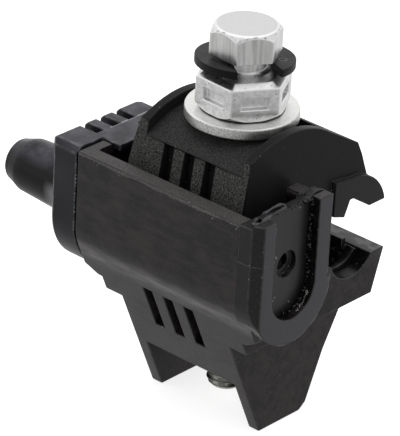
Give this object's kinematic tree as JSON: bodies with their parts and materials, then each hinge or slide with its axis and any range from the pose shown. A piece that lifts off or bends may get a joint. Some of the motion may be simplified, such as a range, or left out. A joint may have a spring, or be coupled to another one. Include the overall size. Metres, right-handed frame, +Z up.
{
  "type": "insulation piercing branch clamp",
  "caption": "Black insulation piercing clamp that joins a branch wire to an overhead line, with a shear-head bolt, toothed contact blades, a wire end cap and an entry seal.",
  "frame": {"origin": "on the clamp bolt's axis, level with the bottoms of the two legs", "axes": "+Z up along the clamp bolt towards its head, +X along both conductors towards the entry seal, +Y from the branch trough towards the main line's jaw"},
  "size_m": [0.0743, 0.0512, 0.0828],
  "materials": {
    "housing": "moulded black glass-filled nylon, satin with a spark-eroded grip side",
    "elastomer": "smooth black moulded elastomer",
    "cast_alloy": "bright die-cast alloy with drawn flats",
    "plated_steel": "galvanised steel, slightly grainy",
    "tinned_blade": "tinned contact alloy, dull"
  },
  "bodies": {
    "lower": {"lower_body": "housing", "captive_nut": "plated_steel", "entry_seal": "elastomer", "lower_blade_front": "tinned_blade", "lower_blade_rear": "tinned_blade", "lower_main_seal": "elastomer", "lower_branch_seal": "elastomer"},
    "upper": {"upper_body": "housing", "washer": "plated_steel", "upper_blade_front": "tinned_blade", "upper_blade_rear": "tinned_blade", "upper_main_seal": "elastomer", "upper_branch_seal": "elastomer"},
    "bolt": {"clamp_bolt": "plated_steel", "shear_head": "cast_alloy", "split_ring": "elastomer"},
    "cap": {"end_cap": "elastomer"}
  },
  "joints": [
    {"name": "jaw_close", "type": "slide", "parent": "lower", "child": "upper", "axis": [0, 0, 1], "range_m": [-0.0096, 0.0016]},
    {"name": "bolt_turn", "type": "hinge", "parent": "upper", "child": "bolt", "pos_m": [0, 0, 0.063], "axis": [0, 0, 1], "range_deg": [-2740, 440]},
    {"name": "cap_pull", "type": "slide", "parent": "lower", "child": "cap", "axis": [-1, 0, 0], "range_m": [0, 0.008]}
  ],
  "couplings": [
    {"joint": "jaw_close", "follows": "bolt_turn", "m_per_rad": 0.00019894}
  ]
}
